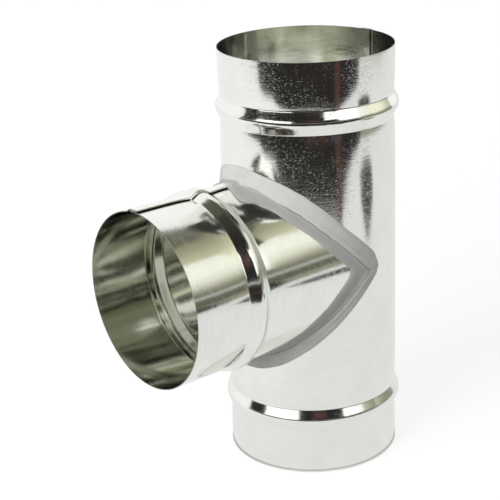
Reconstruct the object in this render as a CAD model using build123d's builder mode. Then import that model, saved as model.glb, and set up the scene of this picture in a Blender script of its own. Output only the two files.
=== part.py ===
from build123d import *
import math
import os

# Duct tee of galvanised sheet: a straight run standing on its lower rim and a branch of the same
# diameter that leaves it at a right angle. Z is the axis of the run, X the axis of the branch and
# the origin is the centre of the run's lower rim. All sizes are in millimetres and degrees.

# Sheet and pipes
sheet = 0.5
pipe_diameter = 99.0
run_length = 241.0
branch_reach = 118.0

# Rolled beads, one near each mouth
run_bead_from_rim = 33.0
branch_bead_from_rim = 41.5
bead_width = 13.0
bead_rise = 2.2
bead_root_radius = 3.0
bead_crest_radius = 3.0

# Folded lock seams, how far each is turned from the plane of the tee, and how many seam widths of
# wall are rolled together with one
lock_width = 7.0
lock_ramp = 3.4
fold_radius = 0.6
run_lock_turn = -4.6
branch_lock_turn = 4.0
seam_widths = 4

# Edge of the branch turned out onto the run
hem_width = 3.0
hem_root = 1.0

# Sealant over the joint: its widths above and below the branch, first at the sides of the tee and
# then in the plane of the tee
sealant_cover = 1.2
sealant_on_run_sides = (10.0, 7.0)
sealant_on_run_ends = (6.2, 7.0)
sealant_on_branch_sides = (7.0, 10.0)
sealant_on_branch_ends = (4.2, 10.0)
sealant_end_radius = 13.0

# Radii and places that follow from the sizes above
outer_radius = pipe_diameter / 2
inner_radius = outer_radius - sheet
lock_sheets = 4
lock_top = inner_radius + lock_sheets * sheet
branch_height = run_length / 2
past_joint = branch_reach + outer_radius
run_beads = [run_bead_from_rim, run_length - run_bead_from_rim]
branch_bead = branch_reach - branch_bead_from_rim
before_branch_bead = branch_bead - bead_width / 2 - bead_root_radius


def pipe_frame(origin, along, seam, turn):
    """Frame of a pipe: local Z along its axis and local X towards its lock seam, turned about the axis."""
    toward = Vector(seam).rotate(Axis(origin, along), turn)
    return Plane(origin=origin, x_dir=toward, z_dir=along)


def polar(radius, arc):
    """Point at a radius, turned from the lock seam by an arc length along the outer wall."""
    angle = arc / outer_radius
    return (radius * math.cos(angle), radius * math.sin(angle))


def bent_arc(radius, start, end):
    """Arc about the pipe's axis between two arc lengths."""
    return ThreePointArc(polar(radius, start), polar(radius, (start + end) / 2), polar(radius, end))


def wall_line(length, beads):
    """Inner face of a pipe's wall from end to end, rising over each bead."""
    points = [(inner_radius, 0)]
    for centre in beads:
        points.append((inner_radius, centre - bead_width / 2))
        points.append((inner_radius + bead_rise, centre))
        points.append((inner_radius, centre + bead_width / 2))
    points.append((inner_radius, length))
    radii = [bead_root_radius, bead_crest_radius, bead_root_radius] * len(beads)
    return FilletPolyline(*points, radius=radii)


def wall_section(length, beads):
    """Section of a pipe's wall along its axis."""
    with BuildSketch(Plane.XZ) as section:
        with BuildLine():
            wall_line(length, beads)
            offset(amount=sheet, side=Side.RIGHT)
        make_face()
    return section.sketch


def lock_section(top, margin=0.0):
    """Outside of a lock seam up to a radius: pressed sheets between a fold and a ramp."""
    fold = -lock_width / 2 - margin
    lap = lock_width / 2 + margin
    foot = lap + lock_ramp
    middle = outer_radius - sheet / 2
    with BuildSketch() as section:
        with BuildLine():
            Line(polar(middle, fold), polar(top - fold_radius, fold))
            RadiusArc(polar(top - fold_radius, fold), polar(top, fold + fold_radius), -fold_radius)
            bent_arc(top, fold + fold_radius, lap)
            Line(polar(top, lap), polar(middle, foot))
            bent_arc(middle, foot, fold)
        make_face()
    return section.sketch


def groove_section():
    """Inside of a lock seam: the groove between the folded edge and the sheet that ramps over it."""
    lap = lock_width / 2
    clear = inner_radius - sheet
    with BuildSketch() as section:
        with BuildLine():
            Polyline(
                polar(clear, lap),
                polar(lock_top - sheet, lap),
                polar(clear, lap + lock_ramp),
                close=True,
            )
        make_face()
    return section.sketch


def rolled_pipe(length, beads):
    """Sheet rolled round the Z axis, closed by a lock seam on its X side that runs over the beads."""
    wall = wall_section(length, beads)
    lock = lock_section(lock_top)
    groove = groove_section()
    seam_arc = seam_widths * math.degrees((lock_width + lock_ramp) / outer_radius)
    with BuildPart() as pipe:
        revolve(wall.rotate(Axis.Z, -seam_arc / 2), axis=Axis.Z, revolution_arc=seam_arc)
        with BuildLine(Plane.XZ) as seam_path:
            wall_line(length, beads)
        sweep(lock, path=seam_path.wire())
        sweep(groove, path=seam_path.wire(), mode=Mode.SUBTRACT)
        revolve(wall.rotate(Axis.Z, seam_arc / 2), axis=Axis.Z, revolution_arc=360 - seam_arc)
    return pipe.part


def wedge(sides=(0.0, 0.0), ends=(0.0, 0.0), end_radius=0.0):
    """Branch side of the mitre, spread onto the run by widths above and below the branch.

    The widths change evenly from the sides of the tee, where the two edges meet, to its ends.
    """
    slopes = [1 + math.sqrt(2) * (end - side) / outer_radius for side, end in zip(sides, ends)]
    rise, drop = [math.sqrt(2) * side for side in sides]
    tip = -(rise + drop) / sum(slopes)
    with BuildSketch(Plane.XZ) as outline:
        with BuildLine():
            edge = FilletPolyline(
                (past_joint, branch_height + slopes[0] * past_joint + rise),
                (tip, branch_height + slopes[0] * tip + rise),
                (past_joint, branch_height - slopes[1] * past_joint - drop),
                radius=[end_radius],
            )
            Line(edge @ 1, edge @ 0)
        make_face()
    return outline.sketch


def layer_on_run(inner, outer, sides, ends, end_radius):
    """Layer round the run that borders the mitre and has the given widths."""
    spread = wedge(sides, ends, end_radius)
    mitre = wedge()
    with BuildPart() as layer:
        with BuildSketch(Plane.XY):
            Circle(outer)
            Circle(inner, mode=Mode.SUBTRACT)
        extrude(amount=run_length)
        extrude(spread, amount=past_joint, both=True, mode=Mode.INTERSECT)
        extrude(mitre, amount=past_joint, both=True, mode=Mode.SUBTRACT)
    return layer.part


def layer_on_branch(inner, outer, sides, ends, hump=None):
    """Layer round the branch that borders the mitre and ends before the bead.

    A hump carries it over the lock seam if one is given.
    """
    mitre = wedge()
    rest = wedge([-side for side in sides], [-end for end in ends])
    with BuildPart() as layer:
        with BuildSketch(branch_frame):
            Circle(outer)
            Circle(inner, mode=Mode.SUBTRACT)
        extrude(amount=before_branch_bead)
        if hump:
            extrude(hump, amount=before_branch_bead)
        extrude(mitre, amount=past_joint, both=True, mode=Mode.INTERSECT)
        extrude(rest, amount=past_joint, both=True, mode=Mode.SUBTRACT)
    return layer.part


run_frame = pipe_frame((0, 0, run_length), (0, 0, -1), (-1, 0, 0), run_lock_turn)
branch_frame = pipe_frame((0, 0, branch_height), (1, 0, 0), (0, 0, 1), branch_lock_turn)
hem_top = outer_radius + sheet
hem_on_run = (hem_width, hem_width)
hem_on_branch = (hem_root, hem_root)
sealant_top = outer_radius + sealant_cover
ridge_top = sealant_top + sheet

with BuildPart() as run_pipe:
    add(run_frame.location * rolled_pipe(run_length, run_beads))
    extrude(wedge(), amount=past_joint, both=True, mode=Mode.SUBTRACT)
run_pipe.part.label = "run_pipe"

with BuildPart() as branch_pipe:
    add(branch_frame.location * rolled_pipe(branch_reach, [branch_bead]))
    extrude(wedge(), amount=past_joint, both=True, mode=Mode.INTERSECT)
    add(layer_on_branch(outer_radius, hem_top, hem_on_branch, hem_on_branch))
    add(layer_on_run(outer_radius, hem_top, hem_on_run, hem_on_run, hem_width))
branch_pipe.part.label = "branch_pipe"

with BuildPart() as sealant_band:
    add(
        layer_on_run(
            outer_radius, sealant_top, sealant_on_run_sides, sealant_on_run_ends, sealant_end_radius
        )
    )
    add(
        layer_on_branch(
            outer_radius,
            sealant_top,
            sealant_on_branch_sides,
            sealant_on_branch_ends,
            branch_frame.location * lock_section(lock_top + sealant_cover, sealant_cover),
        )
    )
    add(layer_on_run(sealant_top, ridge_top, hem_on_run, hem_on_run, hem_width))
    add(layer_on_branch(sealant_top, ridge_top, hem_on_branch, hem_on_branch))
    add(branch_pipe.part, mode=Mode.SUBTRACT)
sealant_band.part.label = "sealant_band"

os.makedirs("parts", exist_ok=True)
export_step(run_pipe.part, "parts/run_pipe.step")
export_step(branch_pipe.part, "parts/branch_pipe.step")
export_step(sealant_band.part, "parts/sealant_band.step")
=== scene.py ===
"""Studio scene of a galvanised duct tee on a pale floor."""

import logging
import math
from dataclasses import dataclass, field
from enum import Enum

import bmesh
import bpy
from mathutils import Matrix, Vector, noise


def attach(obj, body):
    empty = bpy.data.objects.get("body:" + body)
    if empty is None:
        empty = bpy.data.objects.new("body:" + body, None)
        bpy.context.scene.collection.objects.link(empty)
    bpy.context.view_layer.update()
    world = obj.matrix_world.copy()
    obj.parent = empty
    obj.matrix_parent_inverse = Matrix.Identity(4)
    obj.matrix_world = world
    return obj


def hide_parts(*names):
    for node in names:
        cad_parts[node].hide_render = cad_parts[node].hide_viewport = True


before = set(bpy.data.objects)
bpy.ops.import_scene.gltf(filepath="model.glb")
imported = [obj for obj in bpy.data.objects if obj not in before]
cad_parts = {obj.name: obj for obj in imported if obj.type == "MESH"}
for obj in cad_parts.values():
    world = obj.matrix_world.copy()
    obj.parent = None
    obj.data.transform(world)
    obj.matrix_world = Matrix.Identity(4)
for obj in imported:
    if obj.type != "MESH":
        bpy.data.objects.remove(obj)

LOG = logging.getLogger("duct_tee")
MM = 0.001
SAME_MM = 0.01
QUARTER = 90

Point = tuple[float, float, float]
Colour = tuple[float, float, float]
Span = tuple[float, float, float, float]
Knots = tuple[tuple[float, float], ...]
Obj = bpy.types.Object
Socket = bpy.types.NodeSocket
Material = bpy.types.Material


def edit_mode(on: bool) -> None:
    """Go into edit mode, or back to object mode."""
    bpy.ops.object.mode_set(mode="EDIT" if on else "OBJECT")


def select_mesh(on: bool) -> None:
    """Select all of the mesh in edit mode, or none of it."""
    bpy.ops.mesh.select_all(action="SELECT" if on else "DESELECT")


def extrude_by(x: float, y: float, z: float) -> None:
    """Extrude what is selected by a move in millimetres."""
    bpy.ops.mesh.extrude_region_move(TRANSFORM_OT_translate={"value": (x * MM, y * MM, z * MM)})


def put_in_scene(name: str, data: bpy.types.ID) -> Obj:
    """Make an object of a mesh, camera or lamp and link it to the scene.

    Args:
        name: Its name.
        data: The mesh, camera or lamp.

    Returns:
        The object.
    """
    obj = bpy.data.objects.new(name, data)
    bpy.context.scene.collection.objects.link(obj)
    return obj


def deselect() -> None:
    """Leave edit mode and deselect every object."""
    if bpy.context.object and bpy.context.object.mode != "OBJECT":
        edit_mode(False)
    bpy.ops.object.select_all(action="DESELECT")


def make_active(obj: Obj) -> None:
    """Select one object alone and make it active.

    Args:
        obj: The object.
    """
    deselect()
    obj.select_set(True)
    bpy.context.view_layer.objects.active = obj


def apply_place(obj: Obj) -> None:
    """Move an object's place, turn and scale into its mesh."""
    make_active(obj)
    bpy.ops.object.transform_apply(location=True, rotation=True, scale=True)


def apply_modifier(obj: Obj, modifier: bpy.types.Modifier) -> None:
    """Apply one modifier of an object."""
    make_active(obj)
    bpy.ops.object.modifier_apply(modifier=modifier.name)


def flip_faces(obj: Obj) -> None:
    """Turn every face of an object round.

    Args:
        obj: The object.
    """
    make_active(obj)
    edit_mode(True)
    select_mesh(True)
    bpy.ops.mesh.flip_normals()
    edit_mode(False)


def ease(value: float) -> float:
    """Smooth step of a value that is held between 0 and 1."""
    held = min(max(value, 0.0), 1.0)
    return held * held * (3 - 2 * held)


def outward(azimuth: float, elevation: float = 0.0) -> Vector:
    """Way out from the object at an azimuth and an elevation, in degrees."""
    a, e = math.radians(azimuth), math.radians(elevation)
    return Vector((math.sin(a) * math.cos(e), -math.cos(a) * math.cos(e), math.sin(e)))


def node_material(name: str, keep: bool = True) -> Material:
    """Start a material made of nodes.

    Args:
        name: Its name.
        keep: Whether it keeps the nodes that a new material has.

    Returns:
        The material.
    """
    mat = bpy.data.materials.new(name)
    mat.use_nodes = True
    if not keep:
        mat.node_tree.nodes.clear()
    return mat


@dataclass(frozen=True)
class Nodes:
    """Nodes of a material, world or group, with short ways to add and join them."""

    tree: bpy.types.NodeTree

    def add(self, kind: str, operation: str = "") -> bpy.types.Node:
        """Add a shader node.

        Args:
            kind: Blender's name of the node, without the words that all of them share.
            operation: What it works out, where it has a choice.

        Returns:
            The node.
        """
        node = self.tree.nodes.new(f"ShaderNode{kind}")
        if operation:
            node.operation = operation
        return node

    def join(self, source: Socket, target: Socket) -> None:
        """Join an output to an input."""
        self.tree.links.new(source, target)

    def math(self, operation: str, first: Socket | float, second: Socket | float = 0.0) -> Socket:
        """Add a math node on sockets or numbers.

        Args:
            operation: Blender's name of the operation.
            first: First value.
            second: Second value, where the operation has one.

        Returns:
            The result.
        """
        node = self.add("Math", operation)
        for slot, value in zip(node.inputs, (first, second)):
            if isinstance(value, Socket):
                self.join(value, slot)
            else:
                slot.default_value = value
        return node.outputs[0]

    def span(self, value: Socket, spans: Span) -> Socket:
        """Map a value from its first two limits to the last two, and stop there.

        Args:
            value: The value.
            spans: Its lowest and highest, and what each becomes.

        Returns:
            The result.
        """
        node = self.add("MapRange")
        for name, limit in zip(("From Min", "From Max", "To Min", "To Max"), spans):
            node.inputs[name].default_value = limit
        self.join(value, node.inputs["Value"])
        return node.outputs["Result"]

    def noise(self, place: Socket, scale: float = 1.0, detail: float = 2.0) -> Socket:
        """Add a noise.

        Args:
            place: Coordinates in metres.
            scale: Scale per metre.
            detail: Octaves.

        Returns:
            The noise's value.
        """
        node = self.add("TexNoise")
        node.inputs["Scale"].default_value = scale
        node.inputs["Detail"].default_value = detail
        self.join(place, node.inputs["Vector"])
        return node.outputs["Fac"]

    def tint(self, colour: Colour, level: Socket) -> Socket:
        """Make a colour lighter or darker.

        Args:
            colour: The plain colour.
            level: What it is multiplied by.

        Returns:
            The colour.
        """
        node = self.add("VectorMath", "SCALE")
        node.inputs[0].default_value = colour
        self.join(level, node.inputs["Scale"])
        return node.outputs["Vector"]

    def bump(self, height: Socket, distance: float, strength: float = 1.0) -> Socket:
        """Turn a height into a normal.

        Args:
            height: The height.
            distance: Metres that a height of 1 stands for.
            strength: Share of the bump.

        Returns:
            The normal.
        """
        node = self.add("Bump")
        node.inputs["Distance"].default_value = distance
        node.inputs["Strength"].default_value = strength
        self.join(height, node.inputs["Height"])
        return node.outputs["Normal"]


class PipeRole(Enum):
    """Which pipe of the tee a rolled sheet becomes."""

    RUN = "run"
    BRANCH = "branch"


class SheetFace(Enum):
    """Finish slots of a rolled sheet."""

    OUTSIDE = 0
    # Painted shade in the lock's gap under the lip.
    SEAM_GAP = 1
    CUT_EDGE = 2
    # Inside faces: a lighter copy of the zinc in the run (painted light), a darker one in the branch
    # (painted shade).
    INSIDE = 3


@dataclass(frozen=True)
class SheetSizes:
    """Sizes that both pipes share, in millimetres and degrees."""

    sheet: float = 0.5
    outer_radius: float = 49.5
    run_length: float = 241.0
    branch_reach: float = 118.0
    run_bead_from_rim: float = 33.0
    branch_bead_from_rim: float = 41.5
    plain_rim: float = 1.0
    bead_rise: float = 2.02
    bead_slope: float = 28.0
    crest_bend: float = 5.0
    root_bend: float = 1.6
    draw_slope: float = 5.6
    draw_reach: float = 7.5
    lock_width: float = 7.0
    lock_ramp: float = 3.0
    lock_rise: float = 1.36
    lock_sink: float = 0.45
    lap_slack: float = 0.3
    lip: float = 0.74
    gap_depth: float = 1.4
    fold_radius: float = 0.4
    pressed_half: float = 5.5

    @property
    def branch_height(self) -> float:
        """Height of the branch's axis above the lower rim."""
        return self.run_length / 2


@dataclass
class RolledPipe:
    """A sheet rolled into a pipe, beaded, and closed by a lock seam."""

    role: PipeRole
    node: str
    length: float
    beads: list[float]
    seam_angle: float
    seam_hand: int
    flat_width: float = 0.0
    flat_depth: float = 0.45
    sizes: SheetSizes = field(default_factory=SheetSizes)
    facets: int = 360
    crest_steps: int = 8
    root_steps: int = 6
    fold_steps: int = 4
    drawn_wall: tuple[float, ...] = (0.6, 1.4, 2.4, 3.6, 5.2, 7.5, 10.5, 15.0, 21.0)
    under_facing: float = 0.5
    behind_facing: float = 0.9
    rim_facing: float = 0.99
    sharp_above: float = 32.0

    def _bead_half(self) -> list[tuple[float, float]]:
        """Outer face of one half of a bead, from its crest out to the plain wall.

        The wall is drawn in a little beside the bead, as rolling does.

        Returns:
            Pairs of distance from the crest along the axis and radius.
        """
        s = self.sizes
        slope, draw = math.radians(s.bead_slope), math.radians(s.draw_slope)
        dip = s.draw_reach * math.tan(draw)
        crest = s.outer_radius + s.bead_rise
        points: list[tuple[float, float]] = []
        for step in range(self.crest_steps + 1):
            turn = slope * step / self.crest_steps
            points.append((s.crest_bend * math.sin(turn), crest - s.crest_bend * (1 - math.cos(turn))))
        z, r = points[-1]
        fall = r - s.outer_radius + dip - s.root_bend * (math.cos(draw) - math.cos(slope))
        for part in (0.5, 1.0):
            points.append((z + part * fall / math.tan(slope), r - part * fall))
        z, r = points[-1]
        for step in range(1, self.root_steps + 1):
            turn = slope - (slope + draw) * step / self.root_steps
            points.append(
                (
                    z + s.root_bend * (math.sin(slope) - math.sin(turn)),
                    r - s.root_bend * (math.cos(turn) - math.cos(slope)),
                )
            )
        z = points[-1][0]
        for reach in self.drawn_wall:
            points.append((z + reach, s.outer_radius - dip * math.exp(-reach / s.draw_reach)))
        return points

    def stations(self) -> list[tuple[float, float]]:
        """Places and radii of the outer face from one rim to the other.

        Returns:
            Pairs of axial place and radius in millimetres.
        """
        half = self._bead_half()
        radius, rim = self.sizes.outer_radius, self.sizes.plain_rim
        points: list[tuple[float, float]] = [(0.0, radius), (rim, radius)]
        for centre in self.beads:
            points += [(centre - z, r) for z, r in reversed(half[1:])]
            points += [(centre + z, r) for z, r in half]
        points += [(self.length - rim, radius), (self.length, radius)]
        return points

    def _roll_skin(self) -> Obj:
        """Extrude a circle ring by ring into the outer face of the pipe.

        Returns:
            The open skin, with its axis along Z.
        """
        stations = self.stations()
        deselect()
        bpy.ops.mesh.primitive_circle_add(vertices=self.facets, radius=stations[0][1] * MM)
        skin = bpy.context.object
        edit_mode(True)
        self._raise_ramp(skin)
        select_mesh(True)
        for (z0, r0), (z1, r1) in zip(stations, stations[1:]):
            extrude_by(0.0, 0.0, z1 - z0)
            grow = (r1 / r0, r1 / r0, 1.0)
            bpy.ops.transform.resize(value=grow, center_override=(0.0, 0.0, z1 * MM))
        select_mesh(True)
        bpy.ops.mesh.normals_make_consistent(inside=False)
        edit_mode(False)
        face = skin.data.polygons[0]
        if face.normal.dot(Vector((face.center.x, face.center.y, 0.0))) < 0:
            flip_faces(skin)
        return skin

    def _raise_ramp(self, skin: Obj) -> None:
        """Shape the rim at the seam: the ramp over the folded edge and the flat beside it.

        Args:
            skin: The circle in edit mode.
        """
        s = self.sizes
        mesh = bmesh.from_edit_mesh(skin.data)
        moves: list[tuple[int, Vector]] = []
        for vert in mesh.verts:
            angle = math.atan2(vert.co.y, vert.co.x) - math.radians(self.seam_angle)
            angle = (angle + math.pi) % math.tau - math.pi
            past_lap = self.seam_hand * angle * s.outer_radius - s.lock_width / 2
            lift = 0.0
            if -s.lap_slack <= past_lap < s.lock_ramp:
                lift = s.lock_rise * (1 - max(past_lap, 0.0) / s.lock_ramp)
            elif -self.flat_width < past_lap < -s.lap_slack:
                along = past_lap / -self.flat_width
                lift = -4 * self.flat_depth * along * (1 - along)
            if lift:
                moves.append((vert.index, vert.co.normalized() * lift * MM))
        for index, move in moves:
            select_mesh(False)
            mesh = bmesh.from_edit_mesh(skin.data)
            mesh.verts.ensure_lookup_table()
            mesh.verts[index].select = True
            mesh.select_flush_mode()
            bpy.ops.transform.translate(value=move)

    def _select_edges(self, strip: Obj, axis: int, place: float, low: float) -> None:
        """Select the edges of a flat section that lie across one place.

        Args:
            strip: The section in edit mode.
            axis: 0 for edges at a radius, 1 for edges at a side.
            place: The radius or side in millimetres.
            low: Least radius of the edges' middles in millimetres.
        """
        select_mesh(False)
        bpy.ops.mesh.select_mode(type="EDGE")
        mesh = bmesh.from_edit_mesh(strip.data)
        for edge in mesh.edges:
            ends = [vert.co[axis] / MM for vert in edge.verts]
            middle = sum(vert.co.x for vert in edge.verts) / 2 / MM
            edge.select = all(abs(end - place) < SAME_MM for end in ends) and middle > low
        mesh.select_flush_mode()

    def _lock_section(self, fold: float, inner: float) -> Obj:
        """Draw the section of the pressed lock: its foot, and the lip that hangs over the gap.

        Args:
            fold: Side of the lip's folded edge in millimetres.
            inner: Side of the gap's inner end in millimetres.

        Returns:
            The flat section, in edit mode.
        """
        s = self.sizes
        foot = s.outer_radius - s.lock_sink
        shelf = s.outer_radius + s.lock_rise - s.lip
        deselect()
        bpy.ops.mesh.primitive_plane_add(size=1.0)
        strip = bpy.context.object
        strip.scale = ((shelf - foot) * MM, (s.lock_width - s.gap_depth) * MM, 1.0)
        strip.location = ((shelf + foot) / 2 * MM, (inner - fold) / 2 * MM, 0.0)
        apply_place(strip)
        edit_mode(True)
        self._select_edges(strip, 0, shelf, foot)
        extrude_by(s.lip, 0.0, 0.0)
        self._select_edges(strip, 1, inner, shelf)
        extrude_by(0.0, fold - inner, 0.0)
        bpy.ops.mesh.select_mode(type="VERT")
        select_mesh(False)
        mesh = bmesh.from_edit_mesh(strip.data)
        for vert in mesh.verts:
            at_fold = abs(vert.co.y / MM - fold) < SAME_MM
            vert.select = at_fold and vert.co.x / MM > shelf + s.lip / 2
        mesh.select_flush_mode()
        bpy.ops.mesh.bevel(offset=s.fold_radius * MM, segments=self.fold_steps, affect="VERTICES")
        return strip

    def _fold_lock(self) -> Obj:
        """Extrude the pressed lock from rim to rim, over the beads.

        Returns:
            The closed strip, axis along Z, with painted shade in the gap under its fold.
        """
        s = self.sizes
        stations = self.stations()
        fold = -self.seam_hand * s.lock_width / 2
        inner = fold + self.seam_hand * s.gap_depth
        strip = self._lock_section(fold, inner)
        select_mesh(True)
        for (z0, r0), (z1, r1) in zip(stations, stations[1:]):
            extrude_by(r1 - r0, 0.0, z1 - z0)
        select_mesh(True)
        bpy.ops.mesh.normals_make_consistent(inside=False)
        edit_mode(False)
        for face in strip.data.polygons:
            side = (face.center.y / MM - inner) * -self.seam_hand
            under = face.normal.x < -self.under_facing and side > SAME_MM
            behind = face.normal.y * -self.seam_hand > self.behind_facing and abs(side) < SAME_MM
            on_bead = any(abs(face.center.z / MM - bead) < s.pressed_half for bead in self.beads)
            # Painted shade: faces in the gap under the lip get a dark finish, left off over the beads.
            in_shaded_gap = (under or behind) and not on_bead
            face.material_index = (SheetFace.SEAM_GAP if in_shaded_gap else SheetFace.OUTSIDE).value
        strip.rotation_euler = (0.0, 0.0, math.radians(self.seam_angle))
        apply_place(strip)
        return strip

    def _place(self, obj: Obj) -> None:
        """Lay the branch along X at its height; the run already stands on its rim.

        Args:
            obj: The skin or strip, with its axis along Z.
        """
        if self.role is PipeRole.BRANCH:
            obj.rotation_euler = (0.0, math.pi / 2, 0.0)
            obj.location = (0.0, 0.0, self.sizes.branch_height * MM)
            apply_place(obj)

    def _from_axis(self, point: Vector) -> Vector:
        """Way from the pipe's axis out to a point.

        Args:
            point: The point, on the pipe in its place.

        Returns:
            The way, square to the axis.
        """
        if self.role is PipeRole.RUN:
            return Vector((point.x, point.y, 0.0))
        return Vector((0.0, point.y, point.z - self.sizes.branch_height * MM))

    def _mitre(self, obj: Obj) -> None:
        """Cut a pipe along the two mitre planes and take away what lies past them.

        Args:
            obj: The skin or strip, in its place.
        """
        height = self.sizes.branch_height * MM
        make_active(obj)
        edit_mode(True)
        for normal in ((-1.0, 0.0, 1.0), (-1.0, 0.0, -1.0)):
            select_mesh(True)
            bpy.ops.mesh.bisect(plane_co=(0.0, 0.0, height), plane_no=normal)
        select_mesh(False)
        bpy.ops.mesh.select_mode(type="FACE")
        mesh = bmesh.from_edit_mesh(obj.data)
        for face in mesh.faces:
            centre = face.calc_center_median()
            on_branch = centre.x > abs(centre.z - height)
            face.select = on_branch == (self.role is PipeRole.RUN)
        mesh.select_flush_mode()
        bpy.ops.mesh.delete(type="FACE")
        bpy.ops.mesh.select_mode(type="VERT")
        edit_mode(False)

    def _dress(self, skin: Obj, strip: Obj, finishes: list[Material]) -> None:
        """Give each face of the sheet its finish.

        Args:
            skin: The pipe's wall.
            strip: The lock.
            finishes: Materials in the order of SheetFace.
        """
        along = 2 if self.role is PipeRole.RUN else 0
        for piece in (skin, strip):
            for face in piece.data.polygons:
                if abs(face.normal[along]) > self.rim_facing:
                    face.material_index = SheetFace.CUT_EDGE.value
                elif piece is skin and face.normal.dot(self._from_axis(face.center)) < 0:
                    face.material_index = SheetFace.INSIDE.value
            for finish in finishes:
                piece.data.materials.append(finish)

    def build(self, finishes: list[Material]) -> Obj:
        """Model the pipe and dress it.

        Args:
            finishes: Materials in the order of SheetFace.

        Returns:
            The finished pipe, standing for its CAD node.
        """
        skin = self._roll_skin()
        self._place(skin)
        self._mitre(skin)
        wall = skin.modifiers.new("wall", "SOLIDIFY")
        wall.thickness = self.sizes.sheet * MM
        wall.offset = -1.0
        wall.use_even_offset = True
        apply_modifier(skin, wall)
        strip = self._fold_lock()
        self._place(strip)
        if self.role is PipeRole.BRANCH:
            self._mitre(strip)
        self._dress(skin, strip, finishes)
        make_active(skin)
        strip.select_set(True)
        bpy.ops.object.join()
        bpy.ops.object.shade_smooth_by_angle(angle=math.radians(self.sharp_above))
        skin.name = f"{self.role.value}_sheet"
        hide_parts(self.node)
        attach(skin, "root")
        return skin


class Arm(Enum):
    """Upper or lower half of the joint."""

    UPPER = 1
    LOWER = -1


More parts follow.
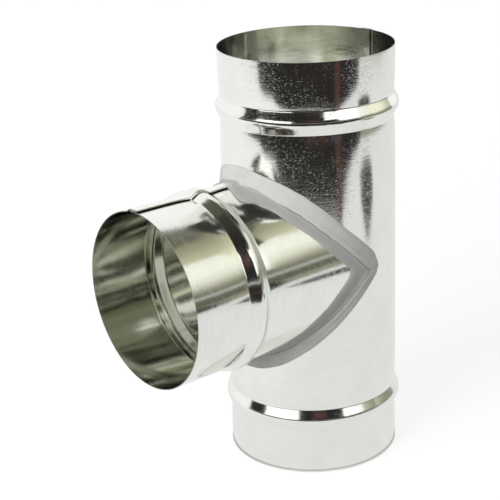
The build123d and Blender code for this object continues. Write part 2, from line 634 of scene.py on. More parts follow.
@dataclass
class SealantBand:
    """Sealant brushed over the joint, thin at its edges and raised over the turned-out hem.

    Widths are given above and below the branch, at the sides of the tee and in its plane. Knots give
    what the hand-laid band has more or less than that, by degrees round the pipe. Sizes are in
    millimetres.
    """

    node: str = "sealant_band"
    on_run_sides: tuple[float, float] = (10.0, 7.0)
    on_run_ends: tuple[float, float] = (6.2, 7.0)
    on_branch_sides: tuple[float, float] = (7.0, 10.0)
    on_branch_ends: tuple[float, float] = (4.2, 10.0)
    spread_on_run: Knots = (
        (-60.0, 0.0), (-20.0, 1.5), (17.0, 1.5), (30.0, 2.7),
        (46.0, 3.4), (57.0, 2.3), (68.0, 1.0), (82.0, 0.0),
    )
    spread_on_branch: Knots = (
        (-14.0, 0.0), (0.0, 2.6), (6.0, 4.5), (12.5, 7.0), (19.0, 9.2),
        (22.5, 6.6), (25.5, 2.2), (32.0, 1.1), (42.0, 0.6), (51.0, -0.4),
        (62.0, -1.2), (70.5, -1.2), (77.0, -1.9), (85.5, -2.8), (90.0, 2.0),
    )
    spread_below: Knots = ((70.0, 0.0), (90.0, 2.0))
    end_radius: float = 13.0
    end_columns: int = 16
    edge: float = 0.25
    cover: float = 0.85
    feather: float = 2.2
    ridge: float = 0.55
    hem_on_run: float = 3.0
    hem_on_branch: float = 1.0
    hem_margin: float = 0.7
    hem_fall: float = 0.9
    hump_fall: float = 2.2
    seat: float = 0.1
    most: float = 2.6
    rows: tuple[float, ...] = (
        0.0, 0.02, 0.05, 0.1, 0.16, 0.23, 0.31, 0.4, 0.5, 0.6, 0.7, 0.79, 0.87, 0.94, 1.0
    )
    crease: float = 0.3
    crease_half: float = 0.4
    uneven: Knots = ((0.16, 0.16), (0.5, 0.05))
    wobble: float = 0.55
    wobble_scale: float = 0.09
    wobble_fade: float = 6.0
    arm_apart: float = 40.0
    side_apart: float = 9.0
    merge: float = 0.02
    least_edge: float = 0.001
    sharp_above: float = 50.0
    sizes: SheetSizes = field(default_factory=SheetSizes)

    def _slope(
        self, sides: tuple[float, float], ends: tuple[float, float], arm: Arm
    ) -> tuple[float, float]:
        """Line of an edge in the plane of the tee.

        Args:
            sides: Widths at the sides of the tee.
            ends: Widths in its plane.
            arm: Upper or lower edge.

        Returns:
            The line's start at the run's axis and its slope.
        """
        at = 0 if arm is Arm.UPPER else 1
        start = math.sqrt(2) * sides[at]
        return start, 1 + math.sqrt(2) * (ends[at] - sides[at]) / self.sizes.outer_radius

    def _round_end(self) -> tuple[Vector, Vector, Vector]:
        """Fit the round end of the band on the run, where its two edges would meet in a corner.

        Returns:
            The end's centre and where it touches the upper and the lower edge, in the tee's plane.
        """
        up, up_slope = self._slope(self.on_run_sides, self.on_run_ends, Arm.UPPER)
        down, down_slope = self._slope(self.on_run_sides, self.on_run_ends, Arm.LOWER)
        corner = Vector((-(up + down) / (up_slope + down_slope), 0.0))
        corner.y = up + up_slope * corner.x
        above = Vector((1.0, up_slope)).normalized()
        below = Vector((1.0, -down_slope)).normalized()
        middle = (above + below).normalized()
        half = middle.angle(above)
        reach = self.end_radius / math.tan(half)
        centre = corner + middle * (self.end_radius / math.sin(half))
        return centre, corner + above * reach, corner + below * reach

    def _run_edge(self, x: float, arm: Arm) -> float:
        """Distance of the band's edge on the run from the branch's axis, at one x.

        Args:
            x: Place along the branch's axis, in millimetres.
            arm: Upper or lower edge.

        Returns:
            The distance along the run, positive away from the axis.
        """
        centre, above, below = self._round_end()
        if x > (above if arm is Arm.UPPER else below).x:
            start, slope = self._slope(self.on_run_sides, self.on_run_ends, arm)
            return start + slope * x
        off = math.sqrt(max(self.end_radius**2 - (x - centre.x) ** 2, 0.0))
        return arm.value * centre.y + off

    def _columns(self, run_side: bool) -> list[float]:
        """Turns at which a strip has a column of points, closer together at the round ends.

        Args:
            run_side: On the run, or else on the branch.

        Returns:
            Degrees round the pipe from the plane of the tee.
        """
        turns: list[float] = list(range(-QUARTER, QUARTER + 1))
        if run_side:
            tip = self._round_end()[0].x - self.end_radius
            last = math.degrees(math.acos(tip / (self.sizes.outer_radius - self.seat)))
            count = self.end_columns
            parts = [math.sin(math.pi / 2 * k / count) for k in range(1, count + 1)]
            ends = [QUARTER + (last - QUARTER) * part for part in parts]
            turns = [-turn for turn in reversed(ends)] + turns + ends
        return turns

    def _height(self, run_side: bool, from_mitre: float, to_edge: float, place: Vector) -> float:
        """Thickness of the sealant at a place, in millimetres.

        Args:
            run_side: Whether the place is on the run.
            from_mitre: Distance from the mitre, square to it.
            to_edge: Distance from the band's edge, square to it.
            place: The place itself.

        Returns:
            The thickness outward from the sheet.
        """
        feather = min(max(to_edge, 0.0) / self.feather, 1.0)
        thick = self.edge + (self.cover - self.edge) * math.sin(feather * math.pi / 2)
        hem = self.hem_on_run if run_side else self.hem_on_branch
        thick += self.ridge * ease((hem + self.hem_margin - from_mitre) / self.hem_fall)
        thick -= self.crease * max(1 - from_mitre / self.crease_half, 0.0)
        thick *= 1 + sum(noise.noise(place * scale) * share for scale, share in self.uneven)
        if not run_side and place.z > 0:
            half = self.sizes.lock_width / 2
            aside = abs(place.y + half) - half
            thick += self.sizes.lock_rise * ease(1 - aside / self.hump_fall) * feather
        return thick

    def _knots(self, arm: Arm, run_side: bool) -> Knots:
        """Pick what one strip of the hand-laid band has more or less.

        Args:
            arm: Upper or lower half of the joint.
            run_side: On the run, or else on the branch.

        Returns:
            Turns round the pipe and the extra width at each.
        """
        if arm is Arm.UPPER:
            return self.spread_on_run if run_side else self.spread_on_branch
        return () if run_side else self.spread_below

    @staticmethod
    def _spread(turn: float, knots: Knots) -> float:
        """Extra width of the hand-laid band at a turn round the pipe.

        Args:
            turn: Degrees round the pipe from the plane of the tee.
            knots: Turns and the extra width at each, in millimetres.

        Returns:
            The width blended between the two nearest knots, or none past the last ones.
        """
        for (before, less), (after, more) in zip(knots, knots[1:]):
            if before <= turn <= after:
                return less + (more - less) * (turn - before) / (after - before)
        return 0.0

    def _inner_reach(self, start: float, arm: Arm) -> float:
        """Width of the band along the branch, from the mitre, at one place on it.

        Args:
            start: Distance of the mitre from the run's axis there.
            arm: Upper or lower half.

        Returns:
            The width in millimetres.
        """
        at = 0 if arm is Arm.UPPER else 1
        part = start / self.sizes.outer_radius
        width = self.on_branch_sides[at] * (1 - part) + self.on_branch_ends[at] * part
        shared = sum(self.on_branch_sides) / 2 * (1 - part) + width * part
        return math.sqrt(2) * shared

    def _reach(self, arm: Arm, run_side: bool, turn: float, x: float, y: float) -> float:
        """Width of the hand-laid band along its pipe, from the mitre.

        Args:
            arm: Upper or lower half of the joint.
            run_side: On the run, or else on the branch.
            turn: Degrees round the pipe from the plane of the tee.
            x: Place along the branch's axis, of the point on the run at that turn.
            y: Place across the tee.

        Returns:
            The width in millimetres.
        """
        start = max(x, 0.0)
        if run_side:
            reach = max(self._run_edge(x, arm) - start, 0.0)
        else:
            reach = self._inner_reach(x, arm)
        reach += self._spread(turn, self._knots(arm, run_side))
        lane = self.arm_apart * arm.value + self.side_apart * run_side
        wobble = noise.noise(Vector((x, y, lane)) * self.wobble_scale)
        fade = min((reach if run_side else start) / self.wobble_fade, 1.0)
        return reach + self.wobble * wobble * fade

    def _strip(self, arm: Arm, run_side: bool) -> Obj:
        """Lay one strip of the band on its pipe, from the mitre to the band's edge.

        Args:
            arm: Upper or lower half of the joint.
            run_side: On the run, or else on the branch.

        Returns:
            The strip as an open skin with its thickness in a vertex group.
        """
        radius = self.sizes.outer_radius - self.seat
        square = math.sqrt(0.5)
        turns = self._columns(run_side)
        columns, rows = len(turns) - 1, len(self.rows) - 1
        deselect()
        bpy.ops.mesh.primitive_grid_add(x_subdivisions=columns, y_subdivisions=rows, size=1.0)
        strip = bpy.context.object
        group = strip.vertex_groups.new(name="thickness")
        for vert in strip.data.vertices:
            turn = turns[round((vert.co.x + 0.5) * columns)]
            row = self.rows[round((vert.co.y + 0.5) * rows)]
            x, y = radius * math.cos(math.radians(turn)), radius * math.sin(math.radians(turn))
            start = max(x, 0.0)
            reach = self._reach(arm, run_side, turn, x, y)
            along = start + row * reach
            if run_side:
                place = Vector((x, y, arm.value * along))
            else:
                place = Vector((along, y, arm.value * start))
            thick = self._height(run_side, row * reach * square, (1 - row) * reach * square, place)
            vert.co = (place + Vector((0.0, 0.0, self.sizes.branch_height))) * MM
            group.add([vert.index], min(thick + self.seat, self.most) / self.most, "REPLACE")
        return strip

    def _face_outward(self, band: Obj) -> None:
        """Turn the skin's faces away from the pipes.

        Args:
            band: The open skin.
        """
        height = self.sizes.branch_height * MM
        away = 0.0
        for face in band.data.polygons:
            axis = Vector((0.0, 0.0, face.center.z))
            if face.center.x > abs(face.center.z - height):
                axis = Vector((face.center.x, 0.0, height))
            away += face.normal.dot(face.center - axis) * face.area
        if away < 0:
            flip_faces(band)

    def build(self, finish: Material) -> Obj:
        """Model the band and dress it.

        Args:
            finish: The sealant's finish.

        Returns:
            The finished band, standing for its CAD node.
        """
        strips = [self._strip(arm, side) for arm in Arm for side in (True, False)]
        band = strips[0]
        make_active(band)
        for strip in strips:
            strip.select_set(True)
        bpy.ops.object.join()
        apply_place(band)
        edit_mode(True)
        select_mesh(True)
        bpy.ops.mesh.remove_doubles(threshold=self.merge * MM)
        bpy.ops.mesh.dissolve_degenerate(threshold=self.least_edge * MM)
        bpy.ops.mesh.normals_make_consistent(inside=False)
        edit_mode(False)
        self._face_outward(band)
        skin = band.modifiers.new("cover", "SOLIDIFY")
        skin.thickness = self.most * MM
        skin.offset = 1.0
        skin.vertex_group = "thickness"
        apply_modifier(band, skin)
        band.data.materials.append(finish)
        bpy.ops.object.shade_smooth_by_angle(angle=math.radians(self.sharp_above))
        band.name = "sealant_layer"
        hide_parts(self.node)
        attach(band, "root")
        return band


@dataclass(frozen=True)
class ZincSkin:
    """Shared node group: rolling lines, speckle and slow waves of galvanised sheet.

    Scales are per metre, and heights are in millimetres.
    """

    name: str = "zinc_skin"
    lines: tuple[float, float, float] = (110.0, 110.0, 1250.0)
    speckle: tuple[float, float, float] = (800.0, 800.0, 2300.0)
    wave: tuple[float, float, float] = (16.0, 16.0, 26.0)
    cloud: tuple[float, float, float] = (55.0, 55.0, 55.0)
    speckled_part: Span = (0.36, 0.6, 0.25, 1.0)
    speckle_height: Span = (0.62, 0.82, 0.0, 0.033)
    line_height: Span = (0.0, 1.0, 0.0, 0.017)
    wave_height: Span = (0.0, 1.0, 0.0, 0.4)
    cloud_shade: Span = (0.3, 0.7, 0.95, 1.0)
    line_shade: Span = (0.3, 0.7, -0.02, 0.02)
    line_roughness: Span = (0.25, 0.75, 0.08, 0.15)

    def _noise(self, nodes: Nodes, scale: tuple[float, float, float], detail: float) -> Socket:
        """Add a noise on the group's stretched place.

        Args:
            nodes: The group's nodes.
            scale: Stretch along each axis, per metre.
            detail: Octaves.

        Returns:
            The noise's value socket.
        """
        stretch = nodes.add("Mapping")
        stretch.inputs["Scale"].default_value = scale
        nodes.join(nodes.tree.nodes["Group Input"].outputs["Place"], stretch.inputs["Vector"])
        return nodes.noise(stretch.outputs["Vector"], detail=detail)

    def make(self) -> bpy.types.NodeTree:
        """Build the group once.

        Returns:
            The group, with a place in and a shade, a roughness and a height in millimetres out.
        """
        tree = bpy.data.node_groups.new(self.name, "ShaderNodeTree")
        face = tree.interface
        face.new_socket("Place", in_out="INPUT", socket_type="NodeSocketVector")
        for name in ("Shade", "Roughness", "Height"):
            face.new_socket(name, in_out="OUTPUT", socket_type="NodeSocketFloat")
        tree.nodes.new("NodeGroupInput").name = "Group Input"
        out = tree.nodes.new("NodeGroupOutput")
        nodes = Nodes(tree)
        lines = self._noise(nodes, self.lines, detail=3.0)
        speckle = self._noise(nodes, self.speckle, detail=2.0)
        wave = self._noise(nodes, self.wave, detail=1.0)
        cloud = self._noise(nodes, self.cloud, detail=4.0)
        dots = nodes.span(speckle, self.speckle_height)
        dots = nodes.math("MULTIPLY", dots, nodes.span(cloud, self.speckled_part))
        height = nodes.math("ADD", nodes.span(lines, self.line_height), dots)
        height = nodes.math("ADD", height, nodes.span(wave, self.wave_height))
        shade = nodes.span(cloud, self.cloud_shade)
        shade = nodes.math("ADD", shade, nodes.span(lines, self.line_shade))
        nodes.join(shade, out.inputs["Shade"])
        nodes.join(nodes.span(lines, self.line_roughness), out.inputs["Roughness"])
        nodes.join(height, out.inputs["Height"])
        return tree


@dataclass(frozen=True)
class GalvanisedFinish:
    """Bright zinc on rolled sheet, with faint lines along the rolling."""

    name: str
    turn: tuple[float, float, float]
    grain: float = 1.0
    colour: Colour = (0.91, 0.92, 0.875)

    def make(self, skin: bpy.types.NodeTree) -> Material:
        """Build the material.

        Args:
            skin: The shared group of sheet detail.

        Returns:
            The zinc material, its lines square to the pipe's axis.
        """
        mat = node_material(self.name)
        nodes = Nodes(mat.node_tree)
        shader = mat.node_tree.nodes["Principled BSDF"]
        shader.inputs["Metallic"].default_value = 1.0
        place = nodes.add("TexCoord")
        turn = nodes.add("Mapping")
        turn.inputs["Rotation"].default_value = self.turn
        nodes.join(place.outputs["Object"], turn.inputs["Vector"])
        detail = nodes.add("Group")
        detail.node_tree = skin
        nodes.join(turn.outputs["Vector"], detail.inputs["Place"])
        tint = nodes.tint(self.colour, detail.outputs["Shade"])
        nodes.join(tint, shader.inputs["Base Color"])
        nodes.join(detail.outputs["Roughness"], shader.inputs["Roughness"])
        normal = nodes.bump(detail.outputs["Height"], MM * self.grain)
        nodes.join(normal, shader.inputs["Normal"])
        return mat


@dataclass(frozen=True)
class DullFinish:
    """Dull metal where the zinc is worn off, and a dark finish that paints the shade in the seam's
    gap.
    """

    name: str
    colour: Colour
    metallic: float
    roughness: float = 0.6

    def make(self) -> Material:
        """Build the material.

        Returns:
            The dull material.
        """
        mat = node_material(self.name)
        shader = mat.node_tree.nodes["Principled BSDF"]
        shader.inputs["Base Color"].default_value = (*self.colour, 1.0)
        shader.inputs["Metallic"].default_value = self.metallic
        shader.inputs["Roughness"].default_value = self.roughness
        return mat


@dataclass(frozen=True)
class SealantFinish:
    """Matt grey sealant, brushed on by hand. Lengths are in millimetres, scales per metre."""

    name: str = "sealant"
    colour: Colour = (0.70, 0.70, 0.675)
    roughness: float = 0.62
    specular: float = 0.3
    branch_height: float = 120.5
    crease_half: float = 0.55
    branch_shade: float = 0.82
    sway: float = 1.3
    sway_scale: float = 120.0
    break_scale: float = 45.0
    break_depth: Span = (0.4, 0.58, 0.0, 0.6)
    cloud_scale: float = 110.0
    cloud_detail: float = 4.0
    cloud_shade: Span = (0.3, 0.7, 0.94, 1.04)
    brush_marks: float = 0.12

    def _crease_shade_and_branch_tone(self, nodes: Nodes, place: Socket) -> Socket:
        """Painted shade of a broken crease line along the mitre, and the band made darker on the
        branch side.

        Args:
            nodes: The material's nodes.
            place: Object coordinates in metres.

        Returns:
            A factor, 1 on the run away from the crease.
        """
        parts = nodes.add("SeparateXYZ")
        nodes.join(place, parts.inputs["Vector"])
        up = nodes.math("SUBTRACT", parts.outputs["Z"], self.branch_height * MM)
        up = nodes.math("ABSOLUTE", up)
        swing = (0.0, 1.0, -self.sway * MM, self.sway * MM)
        sway = nodes.span(nodes.noise(place, self.sway_scale), swing)
        off = nodes.math("SUBTRACT", parts.outputs["X"], up)
        off = nodes.math("ADD", off, sway)
        half = self.crease_half * math.sqrt(2) * MM
        # The band is made darker on the branch side of the mitre.
        branch_tone = nodes.span(off, (-half, half, 1.0, self.branch_shade))
        near = nodes.span(nodes.math("ABSOLUTE", off), (0.0, half, 1.0, 0.0))
        broken = nodes.span(nodes.noise(place, self.break_scale), self.break_depth)
        # Painted shade: the crease line darkens the sealant along the mitre.
        line = nodes.math("SUBTRACT", 1.0, nodes.math("MULTIPLY", near, broken))
        return nodes.math("MULTIPLY", line, branch_tone)

    def make(self) -> Material:
        """Build the material.

        Returns:
            The sealant material.
        """
        mat = node_material(self.name)
        nodes = Nodes(mat.node_tree)
        shader = mat.node_tree.nodes["Principled BSDF"]
        shader.inputs["Roughness"].default_value = self.roughness
        shader.inputs["Specular IOR Level"].default_value = self.specular
        place = nodes.add("TexCoord").outputs["Object"]
        cloud = nodes.noise(place, self.cloud_scale, self.cloud_detail)
        level = nodes.span(cloud, self.cloud_shade)
        shade = nodes.math("MULTIPLY", level, self._crease_shade_and_branch_tone(nodes, place))
        nodes.join(nodes.tint(self.colour, shade), shader.inputs["Base Color"])
        nodes.join(nodes.bump(cloud, MM, self.brush_marks), shader.inputs["Normal"])
        return mat


@dataclass(frozen=True)
class PhotoCamera:
    """Camera at the photograph's angle, in metres and degrees; lens and sensor in millimetres."""

    azimuth: float = 141.94
    elevation: float = 20.31
    roll: float = -2.15
    distance: float = 0.82742
    lens: float = 100.70
    sensor: float = 36.0
    clip: tuple[float, float] = (0.01, 50.0)
    target: Point = (0.0198, -0.03121, 0.11583)

    def build(self) -> None:
        """Add the camera and make it the scene's."""
        roll = math.radians(self.roll)
        back = outward(self.azimuth, self.elevation)
        right = outward(self.azimuth + QUARTER)
        up = back.cross(right)
        across = math.cos(roll) * right + math.sin(roll) * up
        upward = -math.sin(roll) * right + math.cos(roll) * up
        data = bpy.data.cameras.new("photo_camera")
        data.sensor_width = self.sensor
        data.lens = self.lens
        data.clip_start, data.clip_end = self.clip
        camera = put_in_scene("photo_camera", data)
        turn = Matrix((across, upward, back)).transposed().to_4x4()
        camera.matrix_world = Matrix.Translation(Vector(self.target) + back * self.distance) @ turn
        bpy.context.scene.camera = camera


class Shade(Enum):
    """Shades of the room that the bright sheet mirrors."""

    DARK = (0.024, 0.022, 0.021)
    CHARCOAL = (0.06, 0.062, 0.056)
    BROWN = (0.10, 0.052, 0.045)
    RUST = (0.085, 0.045, 0.036)
    SLATE = (0.10, 0.10, 0.13)
    CEILING = (0.06, 0.06, 0.045)
    CEILING_BACK = (0.13, 0.13, 0.095)
    CORNER = (0.12, 0.12, 0.085)
    CORNER_TOP = (0.22, 0.22, 0.16)
    OLIVE = (0.26, 0.26, 0.19)
    DIM = (0.29, 0.29, 0.22)
    WALL_LOW = (0.60, 0.60, 0.46)
    WALL_LIT = (0.95, 0.95, 0.78)
    WALL_WARM = (0.95, 0.95, 0.76)
    WALL_HIGH = (0.57, 0.57, 0.40)
    WALL_TOP = (0.33, 0.33, 0.23)
    SHADED = (0.34, 0.34, 0.275)
    PALE = (0.5, 0.5, 0.48)
    BOX_FOOT = (0.13, 0.13, 0.09)
    BOX_LOW = (0.36, 0.36, 0.27)
    BOX_MIDDLE = (0.78, 0.78, 0.65)
    BOX_EDGE = (0.8, 0.8, 0.76)
    CREAM = (1.0, 1.0, 0.90)
    WHITE = (1.36, 1.36, 1.35)


def show_to_reflections(
    name: str, verts: list[Point], faces: list[tuple[int, ...]], shades: list[Shade]
) -> None:
    """Make a glowing stage mesh that only reflections see.

    Args:
        name: Name of the mesh.
        verts: Its corners in metres.
        faces: Its faces.
        shades: A shade for each corner, blended between corners.
    """
    mesh = bpy.data.meshes.new(name)
    mesh.from_pydata(verts, [], faces)
    paint = mesh.attributes.new("shade", "FLOAT_COLOR", "POINT")
    for item, shade in zip(paint.data, shades):
        item.color = (*shade.value, 1.0)
    mat = node_material(name, keep=False)
    nodes = Nodes(mat.node_tree)
    out = nodes.add("OutputMaterial")
    glow = nodes.add("Emission")
    colour = nodes.add("Attribute")
    colour.attribute_name = "shade"
    nodes.join(colour.outputs["Color"], glow.inputs["Color"])
    nodes.join(glow.outputs["Emission"], out.inputs["Surface"])
    mesh.materials.append(mat)
    obj = put_in_scene(name, mesh)
    obj.visible_camera = False
    obj.visible_diffuse = False
    obj.visible_shadow = False


@dataclass(frozen=True)
class Card:
    """A curved card that stands round the object and that only reflections see.

    Azimuths are in degrees to the right of the camera. Each stop is an elevation in degrees, seen
    from the card's level on the object, and the shade there.
    """

    name: str
    azimuths: tuple[float, float]
    stops: list[tuple[float, Shade]]
    radius: float = 4.0
    level: float = 0.12
    step: float = 5.0

    def build(self, facing: float) -> None:
        """Hang the card.

        Args:
            facing: Azimuth of the camera in degrees.
        """
        first, last = self.azimuths
        steps = max(2, round((last - first) / self.step))
        rows = len(self.stops)
        verts: list[Point] = []
        shades: list[Shade] = []
        faces: list[tuple[int, ...]] = []
        for i in range(steps + 1):
            way = outward(facing + first + (last - first) * i / steps) * self.radius
            for elevation, shade in self.stops:
                rise = self.radius * math.tan(math.radians(elevation)) + self.level
                verts.append((way.x, way.y, rise))
                shades.append(shade)
            if i:
                for k in range(rows - 1):
                    n = (i - 1) * rows + k
                    faces.append((n, n + rows, n + rows + 1, n + 1))
        show_to_reflections(self.name, verts, faces, shades)


@dataclass(frozen=True)
class FloorPatch:
    """A patch on the floor that only reflections see.

    Each span is an azimuth in degrees to the right of the camera, and the distances in metres at
    which the patch begins and ends there.
    """

    name: str
    spans: list[tuple[float, float, float]]
    shade: Shade
    lift: float = 0.001

    def build(self, facing: float) -> None:
        """Lay the patch.

        Args:
            facing: Azimuth of the camera in degrees.
        """
        verts: list[Point] = []
        faces: list[tuple[int, ...]] = []
        for i, (side, near, far) in enumerate(self.spans):
            way = outward(facing + side)
            for reach in (near, far):
                verts.append((way.x * reach, way.y * reach, self.lift))
            if i:
                faces.append((2 * i - 2, 2 * i, 2 * i + 1, 2 * i - 1))
        show_to_reflections(self.name, verts, faces, [self.shade] * len(verts))


@dataclass(frozen=True)
class Ceiling:
    """The ceiling that the open mouths look up to, dim behind and dark towards the camera."""

    height: float = 2.4
    radius: float = 1.5
    steps: int = 36
    dark_half: float = 75.0

    def build(self, facing: float) -> None:
        """Hang the ceiling.

        Args:
            facing: Azimuth of the camera in degrees.
        """
        verts: list[Point] = [(0.0, 0.0, self.height)]
        shades = [Shade.CEILING]
        faces: list[tuple[int, ...]] = []
        for i in range(self.steps):
            side = 360.0 * i / self.steps - 180.0
            way = outward(facing + side) * self.radius
            verts.append((way.x, way.y, self.height))
            shades.append(Shade.DARK if abs(side) < self.dark_half else Shade.CEILING_BACK)
            faces.append((0, 1 + i, 1 + (i + 1) % self.steps))
        show_to_reflections("ceiling", verts, faces, shades)


@dataclass(frozen=True)
class PaleFloor:
    """Floor that keeps the shadow and reads as white.

    To the eye it is whiter the farther it lies from the object. In reflections it is a little
    dimmer on the camera's right. Lengths are in metres.
    """

    half: float = 6.0
    colour: float = 0.42
    seen: Span = (0.2, 1.1, 0.745, 0.83)
    mirrored: Span = (-0.25, 0.0, 1.0, 0.86)
    mirrored_share: float = 0.92

    def build(self, facing: float) -> None:
        """Lay the floor.

        Args:
            facing: Azimuth of the camera in degrees.
        """
        deselect()
        bpy.ops.mesh.primitive_plane_add(size=2 * self.half, location=(0.0, 0.0, 0.0))
        floor = bpy.context.object
        floor.name = "floor"
        mat = node_material("floor", keep=False)
        nodes = Nodes(mat.node_tree)
        out = nodes.add("OutputMaterial")
        matt = nodes.add("BsdfDiffuse")
        matt.inputs["Color"].default_value = (*(self.colour,) * 3, 1.0)
        glow = nodes.add("Emission")
        rays = nodes.add("LightPath")
        place = nodes.add("TexCoord")
        away = nodes.add("VectorMath", "LENGTH")
        nodes.join(place.outputs["Object"], away.inputs[0])
        white = nodes.span(away.outputs["Value"], self.seen)
        level = nodes.math("MULTIPLY", rays.outputs["Is Camera Ray"], white)
        nodes.join(level, glow.inputs["Strength"])
        seen = nodes.add("AddShader")
        nodes.join(matt.outputs["BSDF"], seen.inputs[0])
        nodes.join(glow.outputs["Emission"], seen.inputs[1])
        across = nodes.add("VectorMath", "DOT_PRODUCT")
        across.inputs[1].default_value = outward(facing + QUARTER)
        nodes.join(place.outputs["Object"], across.inputs[0])
        dimmer = nodes.span(across.outputs["Value"], self.mirrored)
        mirrored = nodes.add("Emission")
        nodes.join(dimmer, mirrored.inputs["Strength"])
        share = nodes.math("MULTIPLY", rays.outputs["Is Glossy Ray"], self.mirrored_share)
        mix = nodes.add("MixShader")
        nodes.join(share, mix.inputs["Fac"])
        nodes.join(seen.outputs["Shader"], mix.inputs[1])
        nodes.join(mirrored.outputs["Emission"], mix.inputs[2])
        nodes.join(mix.outputs["Shader"], out.inputs["Surface"])
        floor.data.materials.append(mat)


@dataclass(frozen=True)
class RoomLight:
    """The room's own light: white to the eye and in reflections, plain to matt surfaces."""

    strength: float = 0.40
    seen: float = 1.0

    def build(self) -> None:
        """Set the scene's world."""
        world = bpy.data.worlds.new("room")
        bpy.context.scene.world = world
        world.use_nodes = True
        world.node_tree.nodes.clear()
        nodes = Nodes(world.node_tree)
        out = nodes.add("OutputWorld")
        rays = nodes.add("LightPath")
        mix = nodes.add("MixShader")
        for slot, strength in ((1, self.strength), (2, self.seen)):
            back = nodes.add("Background")
            back.inputs["Color"].default_value = (1.0, 1.0, 1.0, 1.0)
            back.inputs["Strength"].default_value = strength
            nodes.join(back.outputs["Background"], mix.inputs[slot])
        seen = nodes.math("MAXIMUM", rays.outputs["Is Camera Ray"], rays.outputs["Is Glossy Ray"])
        nodes.join(seen, mix.inputs["Fac"])
        nodes.join(mix.outputs["Shader"], out.inputs["Surface"])


@dataclass(frozen=True)
class SoftLamp:
    """A soft square lamp that faces the object, in metres, degrees and watts."""

    name: str = "key_lamp"
    side: float = -45.0
    elevation: float = 26.0
    distance: float = 1.5
    size: float = 1.0
    watts: float = 16.0
    aim: Point = (0.03, 0.0, 0.12)

    def build(self, facing: float) -> None:
        """Hang the lamp.

        Args:
            facing: Azimuth of the camera in degrees.
        """
        way = outward(facing + self.side, self.elevation)
        data = bpy.data.lights.new(self.name, "AREA")
        data.size = self.size
        data.energy = self.watts
        lamp = put_in_scene(self.name, data)
        lamp.location = Vector(self.aim) + way * self.distance
        lamp.rotation_euler = way.to_track_quat("Z", "Y").to_euler()
        lamp.visible_glossy = False
        lamp.visible_camera = False


def floor_patches() -> list[FloorPatch]:
    """List the parts of the floor that the sheet mirrors as dark, brown or shaded.

    Returns:
        The patches; those that lie on another are lifted above it.
    """
    far, above = 4.0, 0.002
    dark_from = [
        (-65.0, 1.15), (-64.0, 0.96), (-62.0, 0.87), (-58.0, 0.80), (-52.0, 0.75), (-47.0, 0.735),
        (-43.5, 0.69), (-41.0, 0.62), (-36.0, 0.55), (-25.0, 0.51), (0.0, 0.495), (15.0, 0.49),
        (30.0, 0.485), (36.0, 0.50), (41.0, 0.535), (46.5, 0.60), (51.0, 0.67), (56.5, 0.77),
        (62.5, 0.84), (66.0, 0.96), (68.5, 1.1),
    ]
    left_from = [(-95.0, 1.62), (-86.0, 1.5), (-74.0, 1.18), (-64.5, 1.08)]
    right_from = [(68.0, 1.08), (84.0, 1.08), (110.0, 1.12), (126.0, 1.2)]
    streak = [
        (65.0, 0.585, 0.595), (70.0, 0.475, 0.685), (75.0, 0.425, 0.71),
        (80.0, 0.445, 0.70), (84.0, 0.495, 0.655), (87.0, 0.575, 0.585),
    ]
    around = [10.0 * i for i in range(37)]
    return [
        FloorPatch("dark_floor", [(side, near, far) for side, near in dark_from], Shade.DARK),
        FloorPatch("brown_strip", [(33.0, 0.46, 1.4), (40.0, 0.46, 1.4)], Shade.RUST, above),
        FloorPatch("brown_far", [(-4.0, 1.45, 1.9), (24.0, 1.45, 1.9)], Shade.BROWN, above),
        FloorPatch("blue_far", [(27.0, 1.5, 2.0), (42.0, 1.5, 2.0)], Shade.SLATE, above),
        FloorPatch("dark_strip", streak, Shade.CHARCOAL, above),
        FloorPatch("shaded_floor", [(side, 0.0, 0.0485) for side in around], Shade.SHADED),
        FloorPatch("contact_shade", [(side, 0.0495, 0.0512) for side in around], Shade.PALE),
        FloorPatch("far_left", [(side, near, far) for side, near in left_from], Shade.DARK),
        FloorPatch("far_right", [(side, near, far) for side, near in right_from], Shade.DIM),
    ]


def room_cards() -> list[Card]:
    """List the walls and soft boxes that the sheet mirrors.

    Returns:
        The cards; the nearer ones hide what stands behind them.
    """
    dark, corner, pale, white = Shade.DARK, Shade.CORNER, Shade.PALE, Shade.WHITE
    before_wall, soft_box = 3.9, 2.5
    horizon = [(-2, dark), (4, dark), (5.5, pale), (7, pale), (8.5, dark)]
    corner_rise = [(-2, corner), (4, corner), (5.5, pale), (7, pale), (9, corner)]
    wall_rise = [
        (-2, Shade.DIM), (7, Shade.DIM), (13, Shade.WALL_LOW), (19, Shade.WALL_LIT),
        (32, Shade.WALL_WARM), (43, Shade.WALL_HIGH), (52, Shade.WALL_TOP), (62, Shade.OLIVE),
    ]
    brown_rise = [(23, dark), (27, Shade.BROWN), (36, Shade.BROWN), (39, dark)]
    box_rise = [
        (9, Shade.BOX_FOOT), (14, Shade.BOX_LOW), (21, Shade.BOX_MIDDLE),
        (29, Shade.CREAM), (42, Shade.CREAM),
    ]
    front_rise = [(14, Shade.BOX_EDGE), (22, white), (36, white)]
    return [
        Card("dark_room", (-60.0, 80.0), [*horizon, (60, dark)]),
        Card("dark_room_left", (-92.0, -60.0), [*horizon, (40, dark)]),
        Card("dim_corner", (60.0, 80.0), [*corner_rise, (16, Shade.CORNER_TOP)], before_wall),
        Card("right_wall", (80.0, 125.0), wall_rise),
        Card("brown_wall", (-3.0, 15.0), brown_rise, before_wall),
        Card("soft_box_front", (38.0, 67.0), front_rise, soft_box),
        Card("soft_box_top", (21.0, 67.0), [(36, white), (44, white)], soft_box),
        Card("soft_box_right", (67.0, 86.0), box_rise, soft_box),
        Card("soft_box_left", (-68.0, -22.0), [(8, white), (31.0, white)], soft_box),
    ]


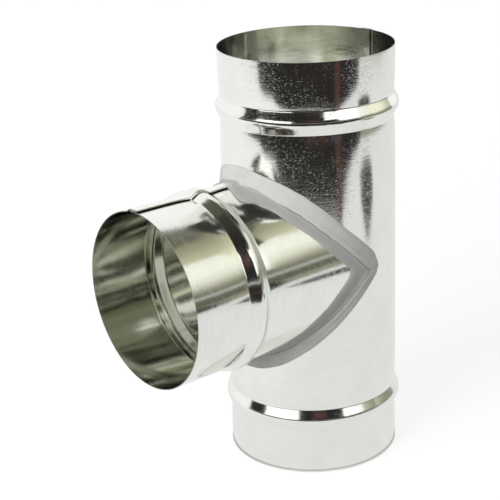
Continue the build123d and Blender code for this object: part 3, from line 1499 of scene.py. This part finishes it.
@dataclass
class Studio:
    """Pale floor, soft light and the dark front of the room."""

    camera: PhotoCamera = field(default_factory=PhotoCamera)
    floor: PaleFloor = field(default_factory=PaleFloor)
    patches: list[FloorPatch] = field(default_factory=floor_patches)
    cards: list[Card] = field(default_factory=room_cards)
    ceiling: Ceiling = field(default_factory=Ceiling)
    light: RoomLight = field(default_factory=RoomLight)
    lamp: SoftLamp = field(default_factory=SoftLamp)

    def build(self) -> None:
        """Set up the whole studio."""
        facing = self.camera.azimuth
        self.camera.build()
        for piece in (self.floor, *self.patches, *self.cards, self.ceiling):
            piece.build(facing)
        self.light.build()
        self.lamp.build(facing)


def main() -> None:
    """Build the tee and its studio in order."""
    logging.basicConfig(level=logging.INFO)
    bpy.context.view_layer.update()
    sizes = SheetSizes()
    skin = ZincSkin().make()
    dull = [
        # The seam gap's finish is painted shade: a near black colour in the lock's crevice.
        DullFinish("seam_gap_painted_shade", (0.03, 0.03, 0.03), metallic=0.0).make(),
        DullFinish("cut_edge", (0.36, 0.36, 0.33), metallic=1.0, roughness=0.45).make(),
    ]
    upright, lying = (0.0, 0.0, 0.0), (0.0, -math.pi / 2, 0.0)
    # Painted light and shade: the run's inside is a lighter copy of the zinc, the branch's a darker
    # copy.
    run_inside_lit = GalvanisedFinish("zinc_run_inside_painted_light", upright, 0.2, (0.97, 0.98, 0.92))
    branch_inside_shaded = GalvanisedFinish("zinc_branch_inside_painted_shade", lying, 0.1, (0.68, 0.69, 0.62))
    run = RolledPipe(
        PipeRole.RUN,
        "run_pipe",
        sizes.run_length,
        [sizes.run_bead_from_rim, sizes.run_length - sizes.run_bead_from_rim],
        seam_angle=184.6,
        seam_hand=-1,
        flat_width=24.5,
    ).build([GalvanisedFinish("zinc_run", upright).make(skin), *dull, run_inside_lit.make(skin)])
    LOG.info("run pipe: %d faces", len(run.data.polygons))
    branch = RolledPipe(
        PipeRole.BRANCH,
        "branch_pipe",
        sizes.branch_reach,
        [sizes.branch_reach - sizes.branch_bead_from_rim],
        seam_angle=184.0,
        seam_hand=1,
    ).build([GalvanisedFinish("zinc_branch", lying).make(skin), *dull, branch_inside_shaded.make(skin)])
    LOG.info("branch pipe: %d faces", len(branch.data.polygons))
    band = SealantBand().build(SealantFinish().make())
    LOG.info("sealant band: %d faces", len(band.data.polygons))
    Studio().build()
    bpy.context.scene.view_settings.view_transform = "Standard"


if __name__ == "__main__":
    main()
